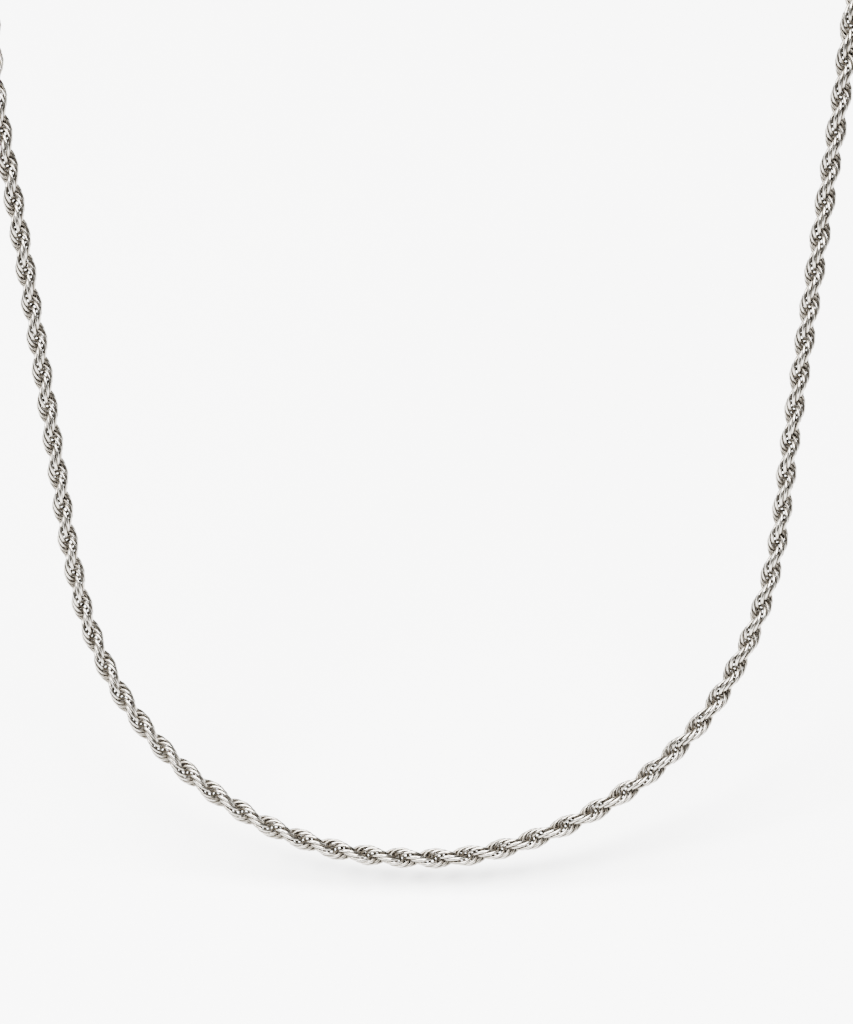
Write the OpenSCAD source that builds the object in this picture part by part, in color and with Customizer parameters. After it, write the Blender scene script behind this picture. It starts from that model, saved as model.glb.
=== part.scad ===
// Rope chain necklace in the form that it takes when worn.
// X runs to the viewer's right, Y from the front to the nape, Z up.
// The origin is the middle of the neck, level with the clasp at the nape.

/* [Rope] */
// Outer diameter of the rope
rope_d = 3.1; // [1.5:0.1:5]

/* [End caps] */
// Clearance between the rope and the cap's bore
cap_clearance = 0.15; // [0.05:0.05:0.4]
// Wall of the cap
cap_wall = 0.4; // [0.3:0.05:1]
// Depth of the bore that takes the rope's end
cap_depth = 3; // [1.5:0.25:5]
// Thickness of the cap's closed end
cap_floor = 1; // [0.6:0.1:2]
// Wire of the bead round the cap's mouth
bead_wire = 0.5; // [0.3:0.05:0.8]

/* [Loops and rings] */
// Wire of the soldered loops
loop_wire = 0.8; // [0.5:0.05:1]
// Radius of a soldered loop, to the middle of its wire
loop_r = 1.25; // [1.15:0.05:2]
// Wire of the jump rings
jump_wire = 0.7; // [0.5:0.05:0.9]
// Radius of a jump ring, to the middle of its wire
jump_r = 2; // [1.9:0.1:3]
// Gap left between linked wires
link_gap = 0.1; // [0.05:0.01:0.15]

/* [Clasp] */
// Length of the claw, without its eye
claw_length = 11; // [8:0.5:14]
// Radius of the claw's round ends, to the middle of its bar
claw_r = 2; // [1.8:0.1:3]
// Diameter of the claw's bar
claw_bar = 1.2; // [1:0.1:1.4]
// Diameter of the thumb stud
stud_d = 1; // [0.8:0.1:1.2]

/* [Hidden] */
$fn = 48;
silver = [0.86, 0.86, 0.85];

// How far a soldered joint sinks the middle of a wire into what carries it
solder_bite = 0.1;

// Places along X, worked outwards from the middle of the claw
eye_x = -claw_length / 2 + solder_bite - loop_r;
left_ring_x = eye_x - loop_r + linked(loop_wire, jump_wire) - jump_r;
left_loop_x = left_ring_x - jump_r + linked(jump_wire, loop_wire) - loop_r;
left_end_x = left_loop_x - loop_r + solder_bite - cap_floor;
right_ring_x = claw_length / 2 - claw_bar / 2 - linked(claw_bar, jump_wire) + jump_r;
right_loop_x = right_ring_x + jump_r - linked(jump_wire, loop_wire) + loop_r;
right_end_x = right_loop_x + loop_r - solder_bite + cap_floor;

// The rope's two ends stand the same distance from the middle of the neck
rope_end_x = (right_end_x - left_end_x) / 2;
claw_x = rope_end_x - right_end_x;
loop_offset = cap_floor - solder_bite + loop_r;

// Height and depth of the rope's ends at the nape
nape = [0, 36, 0];

// Route of the rope's middle line, from the left end over the shoulder and down the front
route_left = [
    [-20, 36, 0], [-30, 33.5, -0.5], [-40, 28, -2], [-49.5, 19.5, -4.5],
    [-57, 8, -8.5], [-60.5, -3.5, -14.5], [-61.5, -14, -21.5], [-61, -21, -28.5],
    [-60, -26.5, -35.5], [-57.5, -34.5, -52], [-55.5, -41.5, -66], [-53.5, -49, -80.5],
    [-52, -54.5, -91.5], [-49.5, -59.5, -102], [-44.5, -65.5, -111], [-37, -70.5, -119],
    [-27, -75, -125], [-17.5, -77.5, -128.5], [-7.5, -79, -130]
];
// Lowest stretch of the front and up the right side to the right end
route_right = [
    [6, -79, -130], [18.5, -77, -127], [29, -73.5, -122.5], [37, -70, -116.5],
    [43, -65.5, -110.5], [48, -60.5, -101], [51, -54.5, -91], [52.5, -47.5, -76.5],
    [54, -41.5, -64], [56.5, -31.5, -45.5], [58, -26, -33.5], [59, -21.5, -25],
    [60.5, -13.5, -15.5], [60, -3, -8.5], [56.5, 8.5, -4.5], [49.5, 19.5, -2],
    [40, 28, -0.5], [30, 33.5, 0], [20, 36, 0]
];
route = concat([nape - [rope_end_x, 0, 0]], route_left, route_right, [nape + [rope_end_x, 0, 0]]);
steps_per_point = 2;
tube_sides = 8;

// Square to the plane that the whole loop roughly lies in
loop_normal = unit([0, 0.75, -0.66]);

path = spline(route, steps_per_point);
path_end = len(path) - 1;
meeting = len(concat([nape], route_left)) * steps_per_point - steps_per_point / 2;
rings = [for (i = [0:path_end]) tube_ring(i)];

function unit(v) = v / norm(v);

// Distance between the middles of two linked wires, with the gap between them
function linked(wire_a, wire_b) = wire_a / 2 + link_gap + wire_b / 2;

function spline_point(a, b, c, d, t) =
    0.5 * (2 * b + (c - a) * t + (2 * a - 5 * b + 4 * c - d) * t * t
           + (3 * b - a - 3 * c + d) * t * t * t);

// A smooth line through all points, straight at both ends
function spline(points, steps) =
    let (last = len(points) - 1,
         ends = [2 * points[0] - points[1], 2 * points[last] - points[last - 1]],
         p = concat([ends[0]], points, [ends[1]]))
    concat([for (i = [0:last - 1], k = [0:steps - 1])
                spline_point(p[i], p[i + 1], p[i + 2], p[i + 3], k / steps)],
           [points[last]]);

// Direction of the path at a step, square to the caps at both ends
function along(i) =
    i == 0 ? [-1, 0, 0] : i == path_end ? [-1, 0, 0] : unit(path[i + 1] - path[i - 1]);

function tube_ring(i) =
    let (ahead = along(i), out = unit(cross(ahead, loop_normal)), over = cross(out, ahead))
    [for (k = [0:tube_sides - 1])
        path[i] + rope_d / 2 * (cos(360 * k / tube_sides) * out + sin(360 * k / tube_sides) * over)];

module rope_tube(first, last) {
    corners = [for (i = [first:last], p = rings[i]) p];
    bands = last - first;
    sides = [for (i = [0:bands - 1], k = [0:tube_sides - 1])
                let (a = i * tube_sides + k, b = i * tube_sides + (k + 1) % tube_sides)
                for (corner = [[a, b, b + tube_sides], [a, b + tube_sides, a + tube_sides]]) corner];
    start = [for (k = [tube_sides - 1:-1:0]) k];
    finish = [for (k = [0:tube_sides - 1]) bands * tube_sides + k];
    polyhedron(points = corners, faces = concat(sides, [start], [finish]), convexity = 10);
}

module wire_ring(r, wire) {
    rotate_extrude() translate([r, 0]) circle(d = wire);
}

// Puts a piece at a place along X on the line between the rope's ends
module at_nape(x) {
    translate(nape + [x, 0, 0]) children();
}

module rope_left() {
    color(silver) rope_tube(0, meeting);
}

module rope_right() {
    color(silver) rope_tube(meeting, path_end);
}

// The rope leaves the cap along the cap's own Z, and the loop is behind its closed end
module end_cap(side) {
    bore_r = rope_d / 2 + cap_clearance;
    cap_r = bore_r + cap_wall;
    color(silver) at_nape(side * rope_end_x) rotate([0, side * 90, 0]) {
        difference() {
            union() {
                cylinder(h = cap_depth, r = cap_r);
                translate([0, 0, -cap_floor]) cylinder(h = cap_floor, r1 = cap_r - cap_floor / 2, r2 = cap_r);
                translate([0, 0, cap_depth - bead_wire / 2]) wire_ring(cap_r, bead_wire);
            }
            cylinder(h = cap_depth + 1, r = bore_r);
        }
        translate([0, 0, -loop_offset]) rotate([90, 0, 0]) wire_ring(loop_r, loop_wire);
    }
}

module end_cap_left() {
    end_cap(-1);
}

module end_cap_right() {
    end_cap(1);
}

module jump_ring_left() {
    color(silver) at_nape(claw_x + left_ring_x) wire_ring(jump_r, jump_wire);
}

module jump_ring_right() {
    color(silver) at_nape(claw_x + right_ring_x) wire_ring(jump_r, jump_wire);
}

module claw_end(turn) {
    rotate([0, turn, 0]) rotate([90, 0, 0]) rotate([0, 0, -90]) rotate_extrude(angle = 180)
        translate([claw_r, 0]) circle(d = claw_bar);
}

module clasp() {
    straight = claw_length - 2 * claw_r - claw_bar;
    color(silver) at_nape(claw_x) {
        for (side = [-1, 1]) {
            translate([side * straight / 2, 0, 0]) claw_end(side > 0 ? 0 : 180);
            translate([-straight / 2, 0, side * claw_r]) rotate([0, 90, 0]) cylinder(h = straight, d = claw_bar);
        }
        translate([eye_x, 0, 0]) rotate([90, 0, 0]) wire_ring(loop_r, loop_wire);
        translate([-straight / 2, 0, claw_r + claw_bar / 2]) sphere(d = stud_d);
    }
}

rope_left();
rope_right();
end_cap_left();
end_cap_right();
jump_ring_left();
jump_ring_right();
clasp();
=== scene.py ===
"""Looks of the rope chain necklace: every link of the rope, and the metal's finish.

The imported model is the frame. The two plain tubes that stand for the rope are replaced
by its interlocked links, and the caps, rings and clasp keep their solids.
"""

import math
import random
import bmesh
import bpy
from mathutils import Matrix, Vector
from mathutils.bvhtree import BVHTree


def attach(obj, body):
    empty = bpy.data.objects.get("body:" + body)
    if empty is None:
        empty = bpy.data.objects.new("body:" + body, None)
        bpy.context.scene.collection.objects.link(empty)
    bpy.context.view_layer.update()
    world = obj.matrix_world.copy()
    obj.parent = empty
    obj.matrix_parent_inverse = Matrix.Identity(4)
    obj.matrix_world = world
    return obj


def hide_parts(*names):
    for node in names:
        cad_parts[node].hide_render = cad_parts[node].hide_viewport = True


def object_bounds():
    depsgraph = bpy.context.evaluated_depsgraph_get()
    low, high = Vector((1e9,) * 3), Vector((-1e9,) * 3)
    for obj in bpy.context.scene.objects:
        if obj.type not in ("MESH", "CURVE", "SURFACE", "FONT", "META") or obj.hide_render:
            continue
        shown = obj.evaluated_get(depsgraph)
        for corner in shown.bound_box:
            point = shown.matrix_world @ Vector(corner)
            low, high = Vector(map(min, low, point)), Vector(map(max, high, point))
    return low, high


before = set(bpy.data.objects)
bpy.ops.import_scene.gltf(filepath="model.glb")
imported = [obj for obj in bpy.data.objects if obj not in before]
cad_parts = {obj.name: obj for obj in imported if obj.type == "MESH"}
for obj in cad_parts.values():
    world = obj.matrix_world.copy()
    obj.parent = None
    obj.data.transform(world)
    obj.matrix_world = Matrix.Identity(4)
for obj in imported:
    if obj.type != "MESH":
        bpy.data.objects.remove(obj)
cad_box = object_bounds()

MM = 0.001

# Sizes, in metres
ROPE_D = 3.1 * MM

# The rope's route, as in the part's source
NAPE_Y = 36
ROPE_END_X = 12.0
ROUTE_LEFT = [
    (-ROPE_END_X, NAPE_Y, 0), (-20, 36, 0), (-30, 33.5, -0.5), (-40, 28, -2),
    (-49.5, 19.5, -4.5), (-57, 8, -8.5), (-60.5, -3.5, -14.5), (-61.5, -14, -21.5),
    (-61, -21, -28.5), (-60, -26.5, -35.5), (-57.5, -34.5, -52), (-55.5, -41.5, -66),
    (-53.5, -49, -80.5), (-52, -54.5, -91.5), (-49.5, -59.5, -102), (-44.5, -65.5, -111),
    (-37, -70.5, -119), (-27, -75, -125), (-17.5, -77.5, -128.5), (-7.5, -79, -130),
]
ROUTE_RIGHT = [
    (6, -79, -130), (18.5, -77, -127), (29, -73.5, -122.5), (37, -70, -116.5),
    (43, -65.5, -110.5), (48, -60.5, -101), (51, -54.5, -91), (52.5, -47.5, -76.5),
    (54, -41.5, -64), (56.5, -31.5, -45.5), (58, -26, -33.5), (59, -21.5, -25),
    (60.5, -13.5, -15.5), (60, -3, -8.5), (56.5, 8.5, -4.5), (49.5, 19.5, -2),
    (40, 28, -0.5), (30, 33.5, 0), (20, 36, 0), (ROPE_END_X, NAPE_Y, 0),
]
ROUTE = [Vector(point) * MM for point in ROUTE_LEFT + ROUTE_RIGHT]
MEETING = len(ROUTE_LEFT) - 1
STEPS = 60

# One link is an oval of round wire, whose length lies along the rope
WIRE_D = 0.5 * MM
LINK_HALF_WIDTH = (ROPE_D - WIRE_D) / 2
LINK_HALF_LENGTH = 1.75 * MM
LINK_WRING = math.radians(5)
LINK_ASIDE = 0.06 * MM
LINK_SIDES = 16
WIRE_SIDES = 6

# Each link is turned a little more than half round from the one before it
HALF_TURN = 4.985 * MM
LINKS_PER_HALF_TURN = 7
LINK_PITCH = HALF_TURN / LINKS_PER_HALF_TURN
LINK_TURN = math.pi + math.pi / LINKS_PER_HALF_TURN
FIRST_TURN = math.radians(341)
# Clear room between a cap's floor and the first link
END_GAP = 0.1 * MM
# How far a link may stand askew, as in any chain that has been worn
LINK_SLACK = math.radians(2.5)
SLACK_SEED = 5
# Share of the rope's radius inside which the painted shade grows darker and darker towards the
# middle
DEEP_SHADE_FROM = 0.6
# How the openness of a point is told: neighbours each way, directions and the reach of a look
NEIGHBOURS = 9
DIRECTIONS = 160
LOOK_FROM = WIRE_D / 20
LOOK_REACH = 2 * ROPE_D

# Floor and light
FLOOR_Z = cad_box[0][2] - 3 * MM
FLOOR_SIZE = 6
SKY_COLOUR = (0.9, 0.9, 0.9, 1)
SKY_STRENGTH = 0.38
# Each soft light's name, place, width and power
LIGHTS = [
    ("window_left", (-1.0, -0.5, 1.5), 0.8, 122),
    ("window_front", (0.4, -0.9, 1.6), 0.6, 55),
    ("overhead", (0, 0.1, 1.8), 1.5, 250),
]
LIGHTS_LOOK_AT = Vector((0, -0.05, -0.08))

# The camera, from the photo's framing
PHOTO_HEIGHT_PX = 1024
FOCAL_PX = 2797
SENSOR_MM = 36
CAMERA_AT = Vector((0, -0.3634, 0.1751))
CAMERA_LOOKS_AT = Vector((0, -0.057, -0.082))


def make_camera():
    view = bpy.data.cameras.new("camera")
    view.sensor_fit = "VERTICAL"
    view.sensor_height = SENSOR_MM
    view.lens = FOCAL_PX * SENSOR_MM / PHOTO_HEIGHT_PX
    camera = bpy.data.objects.new("camera", view)
    camera.location = CAMERA_AT
    camera.rotation_euler = (CAMERA_LOOKS_AT - CAMERA_AT).to_track_quat("-Z", "Y").to_euler()
    bpy.context.scene.collection.objects.link(camera)
    bpy.context.scene.camera = camera


make_camera()


class Value:
    """A shader socket that takes part in Python arithmetic."""

    def __init__(self, tree, socket):
        self.tree, self.socket = tree, socket

    def _math(self, operation, a, b):
        node = self.tree.nodes.new("ShaderNodeMath")
        node.operation = operation
        for place, item in enumerate((a, b)):
            if isinstance(item, Value):
                self.tree.links.new(item.socket, node.inputs[place])
            else:
                node.inputs[place].default_value = item
        return Value(self.tree, node.outputs[0])

    def __add__(self, other):
        return self._math("ADD", self, other)

    def __radd__(self, other):
        return self._math("ADD", other, self)

    def __sub__(self, other):
        return self._math("SUBTRACT", self, other)

    def __rsub__(self, other):
        return self._math("SUBTRACT", other, self)

    def __mul__(self, other):
        return self._math("MULTIPLY", self, other)

    def __rmul__(self, other):
        return self._math("MULTIPLY", other, self)

    def __pow__(self, other):
        return self._math("POWER", self, other)


class Finish:
    """A material and the one way that its nodes are made."""

    def __init__(self, name):
        self.material = bpy.data.materials.new(name)
        self.material.use_nodes = True
        self.tree = self.material.node_tree
        self.shader = self.tree.nodes["Principled BSDF"]

    def node(self, kind, settings=None, output=0, **sockets):
        """A new node: its settings come first, then its sockets."""
        made = self.tree.nodes.new(kind)
        for name, value in (settings or {}).items():
            setattr(made, name, value)
        for name, value in sockets.items():
            self.set(made, name, value)
        return Value(self.tree, made.outputs[output])

    def set(self, made, name, value):
        """Gives a value or a link to a socket, which is named or, as n3, numbered."""
        key = int(name[1:]) if name[0] == "n" and name[1:].isdigit() else name.replace("_", " ")
        socket = made.inputs[key]
        if isinstance(value, Value):
            self.tree.links.new(value.socket, socket)
        else:
            socket.default_value = value

    def shade(self, **sockets):
        """Sets the sockets of the material's own shader and hands back the material."""
        for name, value in sockets.items():
            self.set(self.shader, name, value)
        return self.material

    def mix(self, factor, a, b):
        """The colour a where the factor is 0 and b where it is 1."""
        return self.node("ShaderNodeMix", {"data_type": "RGBA"}, output=2, n0=factor, n6=a, n7=b)


def spot_noise(finish, where, scale, detail=3.0):
    return finish.node("ShaderNodeTexNoise", Vector=where, Scale=scale, Detail=detail,
                       Roughness=0.55)


def rope_silver():
    """Polished wire with painted shade: the colour is bright where the wire lies open and darker
    where the links cross deep down.
    """
    finish = Finish("rope_silver")
    where = finish.node("ShaderNodeTexCoord", output=3)
    # The openness attribute is the mask of the painted shade
    openness = finish.node("ShaderNodeAttribute", {"attribute_name": "openness"}, output=2)
    tarnish = spot_noise(finish, where, 900)
    scratches = spot_noise(finish, where, 5200, detail=2.0)
    reach = openness + (tarnish - 0.5) * 0.1
    bright = finish.node("ShaderNodeMapRange", {"interpolation_type": "SMOOTHSTEP"}, Value=reach,
                         From_Min=0.38, From_Max=1.08)
    # Painted shade: the colour runs from this dark tone where neighbours hide the wire or it
    # lies deep in the rope, to the metal's own tone where it lies open
    colour = finish.mix(bright ** 4, (0.13, 0.116, 0.096, 1), (0.48, 0.452, 0.408, 1))
    bump = finish.node("ShaderNodeBump", Height=scratches, Strength=0.12, Distance=0.00004)
    return finish.shade(Base_Color=colour, Metallic=1.0,
                        Roughness=0.38 - bright * 0.2 + (tarnish - 0.5) * 0.06, Normal=bump)


def plain_silver():
    """Polished cast and drawn pieces at the nape, with fine scratches from wear."""
    finish = Finish("plain_silver")
    where = finish.node("ShaderNodeTexCoord", output=3)
    smudge = spot_noise(finish, where, 350)
    along = finish.node("ShaderNodeMapping", Vector=where, Scale=(1200, 6000, 6000))
    scratches = spot_noise(finish, along, 1.0, detail=4.0)
    colour = finish.mix(smudge, (0.32, 0.303, 0.276, 1), (0.46, 0.44, 0.408, 1))
    bump = finish.node("ShaderNodeBump", Height=scratches, Strength=0.1, Distance=0.00003)
    return finish.shade(Base_Color=colour, Metallic=1.0,
                        Roughness=0.1 + smudge * 0.12, Normal=bump)


def spline_point(a, b, c, d, t):
    return 0.5 * (2 * b + (c - a) * t + (2 * a - 5 * b + 4 * c - d) * t * t
                  + (3 * b - a - 3 * c + d) * t ** 3)


def rope_line():
    """Points of the middle line close together, and the length up to where the halves meet."""
    points = [2 * ROUTE[0] - ROUTE[1]] + ROUTE + [2 * ROUTE[-1] - ROUTE[-2]]
    line = [spline_point(*points[i:i + 4], k / STEPS)
            for i in range(len(ROUTE) - 1) for k in range(STEPS)]
    line.append(ROUTE[-1])
    lengths = [0.0]
    for before, after in zip(line, line[1:]):
        lengths.append(lengths[-1] + (after - before).length)
    middle = (MEETING + 0.5) * STEPS
    return line, lengths, lengths[round(middle)]


def steady_frames(line):
    """Along and sideways directions at each point, which turn with the line but don't twist."""
    frames = []
    side = Vector((0, 0, 1))
    for i, point in enumerate(line):
        ahead = (line[min(i + 1, len(line) - 1)] - line[max(i - 1, 0)]).normalized()
        side = (side - ahead * side.dot(ahead)).normalized()
        frames.append((point, ahead, side))
    return frames


def deselect_all():
    for item in bpy.context.selected_objects:
        item.select_set(False)


def one_link():
    """An oval of round wire round the origin, its width along X and its length along Y."""
    deselect_all()
    bpy.ops.mesh.primitive_torus_add(
        major_segments=LINK_SIDES, minor_segments=WIRE_SIDES,
        major_radius=LINK_HALF_WIDTH, minor_radius=WIRE_D / 2)
    link = bpy.context.object
    step = 2 * math.pi / LINK_SIDES
    for section in range(LINK_SIDES):
        bpy.ops.object.mode_set(mode="EDIT")
        bpy.ops.mesh.select_all(action="DESELECT")
        bpy.ops.object.mode_set(mode="OBJECT")
        angle = section * step
        for vertex in link.data.vertices:
            nearness = math.cos(math.atan2(vertex.co.y, vertex.co.x) - angle)
            vertex.select = nearness > math.cos(step / 2)
        bpy.ops.object.mode_set(mode="EDIT")
        stretch = (LINK_HALF_LENGTH - LINK_HALF_WIDTH) * math.sin(angle)
        bpy.ops.transform.translate(value=(0, stretch, 0))
        bpy.ops.object.mode_set(mode="OBJECT")
    wring = link.modifiers.new("wring", "SIMPLE_DEFORM")
    wring.deform_method, wring.deform_axis, wring.angle = "TWIST", "Y", LINK_WRING
    bpy.ops.object.modifier_apply(modifier="wring")
    mesh = link.data
    bpy.data.objects.remove(link)
    return mesh


def link_openness(link):
    """For each point of a link, the share of what it faces that its neighbours leave clear.

    The share is lowered deep inside the rope. It is the mask of the painted shade: the colour is
    bright where the share is high and darker where it is low. All links stand alike, so it is
    worked out once, in a straight rope.
    """
    points, faces = [], []
    for k in range(-NEIGHBOURS, NEIGHBOURS + 1):
        stand = Matrix.Rotation(k * LINK_TURN, 3, "Y")
        middle = Vector((0, k * LINK_PITCH, 0)) + stand.col[2] * LINK_ASIDE
        first = len(points)
        points += [middle + stand @ vertex.co for vertex in link.vertices]
        faces += [[first + corner for corner in face.vertices] for face in link.polygons]
    rope = BVHTree.FromPolygons(points, faces)
    golden = math.pi * (3 - math.sqrt(5))
    directions = []
    for i in range(DIRECTIONS):
        height = 1 - (2 * i + 1) / DIRECTIONS
        radius = math.sqrt(1 - height * height)
        directions.append(Vector((radius * math.cos(golden * i), height,
                                  radius * math.sin(golden * i))))
    shares = []
    for vertex in link.vertices:
        place = vertex.co + Vector((0, 0, LINK_ASIDE))
        depth = math.hypot(place.x, place.z) / (ROPE_D / 2)
        start = place + vertex.normal * LOOK_FROM
        clear = faced = 0.0
        for direction in directions:
            slant = direction.dot(vertex.normal)
            if slant > 0:
                faced += slant
                if rope.ray_cast(start, direction, LOOK_REACH)[0] is None:
                    clear += slant
        # Painted shade: a point that its neighbours hide, or that lies deep in the rope, gets a
        # low share and so a darker colour
        shares.append(clear / faced * min(1, depth / DEEP_SHADE_FROM))
    return shares


def link_places():
    """Each link's length along the rope, middle and stand, and the length where halves meet."""
    line, lengths, meeting = rope_line()
    frames = steady_frames(line)
    slack = random.Random(SLACK_SEED)
    end_room = LINK_HALF_LENGTH + WIRE_D / 2 + END_GAP
    places, at, i = [], end_room, 0
    while at <= lengths[-1] - end_room:
        while lengths[i + 1] < at:
            i += 1
        share = (at - lengths[i]) / (lengths[i + 1] - lengths[i])
        centre, ahead, side = (a.lerp(b, share) for a, b in zip(frames[i], frames[i + 1]))
        turn = FIRST_TURN + len(places) * LINK_TURN
        outward = Matrix.Rotation(turn, 3, ahead) @ (side - ahead * side.dot(ahead)).normalized()
        stand = Matrix((outward, ahead.normalized(), outward.cross(ahead))).transposed()
        for axis in "XYZ":
            stand = stand @ Matrix.Rotation(slack.uniform(-LINK_SLACK, LINK_SLACK), 3, axis)
        places.append((at, centre, stand))
        at += LINK_PITCH
    return places, meeting


def make_rope(name, node, places, link, shares, finish):
    """The links of one half of the rope, as one piece."""
    rope = bmesh.new()
    # Each point's openness, the mask that sets its painted shade
    openness = rope.verts.layers.float.new("openness")
    for at, centre, stand in places:
        first = len(rope.verts)
        rope.from_mesh(link)
        rope.verts.ensure_lookup_table()
        middle = centre + stand.col[2] * LINK_ASIDE
        for vertex, shape, share in zip(rope.verts[first:], link.vertices, shares):
            vertex.co = middle + stand @ shape.co
            vertex[openness] = share
    mesh = bpy.data.meshes.new(name)
    rope.to_mesh(mesh)
    rope.free()
    mesh.polygons.foreach_set("use_smooth", [True] * len(mesh.polygons))
    mesh.materials.append(finish)
    piece = bpy.data.objects.new(name, mesh)
    bpy.context.scene.collection.objects.link(piece)
    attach(piece, "root")
    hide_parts(node)


def make_ropes():
    places, meeting = link_places()
    link, finish = one_link(), rope_silver()
    shares = link_openness(link)
    left = [place for place in places if place[0] < meeting]
    right = [place for place in places if place[0] >= meeting]
    make_rope("rope_links_left", "rope_left", left, link, shares, finish)
    make_rope("rope_links_right", "rope_right", right, link, shares, finish)


make_ropes()


def finish_nape_pieces():
    finish = plain_silver()
    for name in ("end_cap_left", "end_cap_right", "jump_ring_left", "jump_ring_right", "clasp"):
        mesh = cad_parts[name].data
        mesh.materials.clear()
        mesh.materials.append(finish)


finish_nape_pieces()


def make_floor():
    deselect_all()
    bpy.ops.mesh.primitive_plane_add(size=FLOOR_SIZE, location=(0, 0, FLOOR_Z))
    floor = bpy.context.object
    floor.name = "floor"
    finish = Finish("pale_floor")
    floor.data.materials.append(finish.shade(Base_Color=(0.93, 0.93, 0.925, 1), Roughness=0.8))


def add_light(name, place, size, power):
    lamp = bpy.data.lights.new(name, "AREA")
    lamp.size, lamp.energy = size, power
    light = bpy.data.objects.new(name, lamp)
    light.location = place
    light.rotation_euler = (LIGHTS_LOOK_AT - Vector(place)).to_track_quat("-Z", "Y").to_euler()
    bpy.context.scene.collection.objects.link(light)


def make_light():
    world = bpy.data.worlds.new("studio")
    world.use_nodes = True
    sky = world.node_tree.nodes["Background"]
    sky.inputs["Color"].default_value = SKY_COLOUR
    sky.inputs["Strength"].default_value = SKY_STRENGTH
    bpy.context.scene.world = world
    for light in LIGHTS:
        add_light(*light)


make_floor()
make_light()
